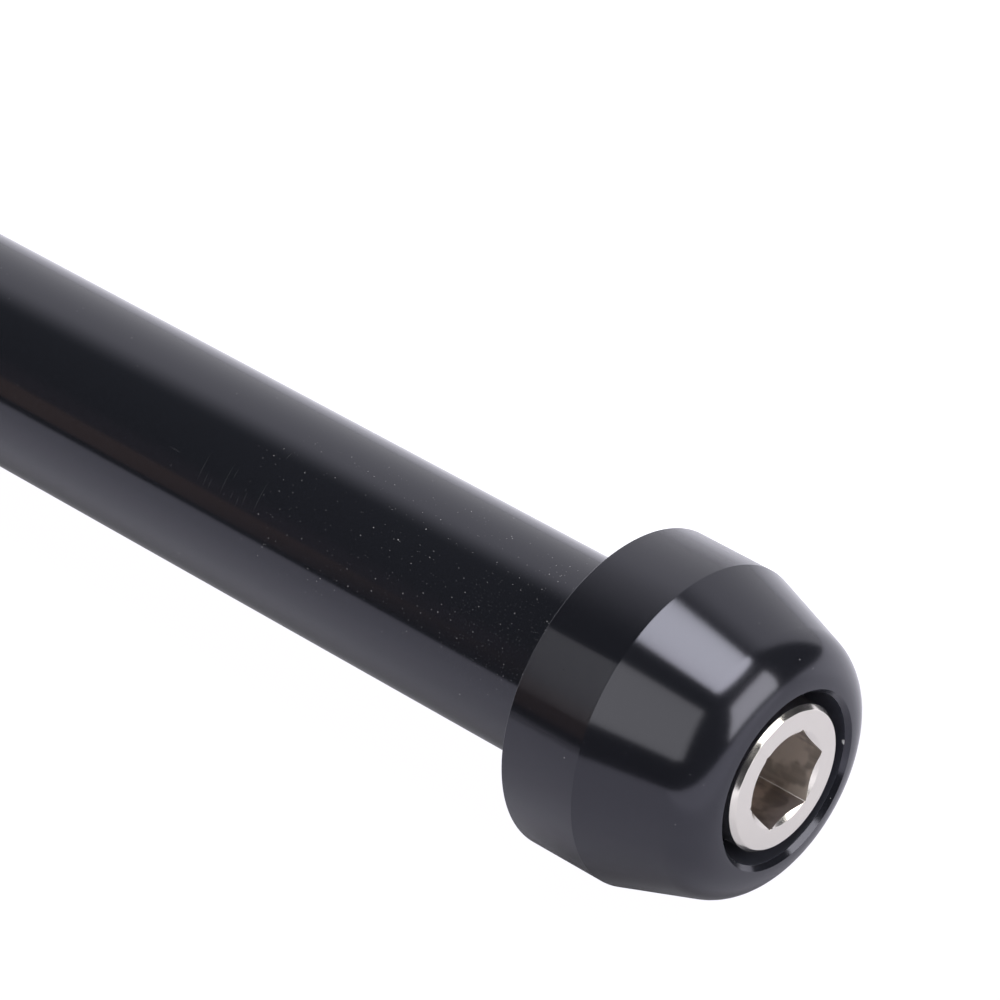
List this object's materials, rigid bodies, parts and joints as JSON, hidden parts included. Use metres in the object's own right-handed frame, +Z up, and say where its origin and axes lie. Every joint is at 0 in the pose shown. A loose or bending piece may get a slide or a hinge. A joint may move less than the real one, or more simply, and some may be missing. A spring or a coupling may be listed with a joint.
{
  "type": "bicycle thru axle",
  "caption": "Thru axle for a bicycle wheel: hollow threaded shaft with a conical head and a bright insert holding a hex key socket.",
  "frame": {"origin": "point on the ground below the middle of the axle's length, where it lies on the rim of its head and its first thread", "axes": "+X along the axle from the threaded tip to the head, level with the ground; the axle's own axis rises 1.68 degrees towards the head; +Z up"},
  "size_m": [0.1322, 0.019, 0.0191],
  "materials": {
    "black_anodise": "black anodised, semi-gloss, with fine turning marks",
    "bright_plating": "bright plated steel, ground face and polished edge"
  },
  "bodies": {
    "root": {"axle_body": "black_anodise", "hex_insert": "bright_plating"}
  },
  "joints": []
}
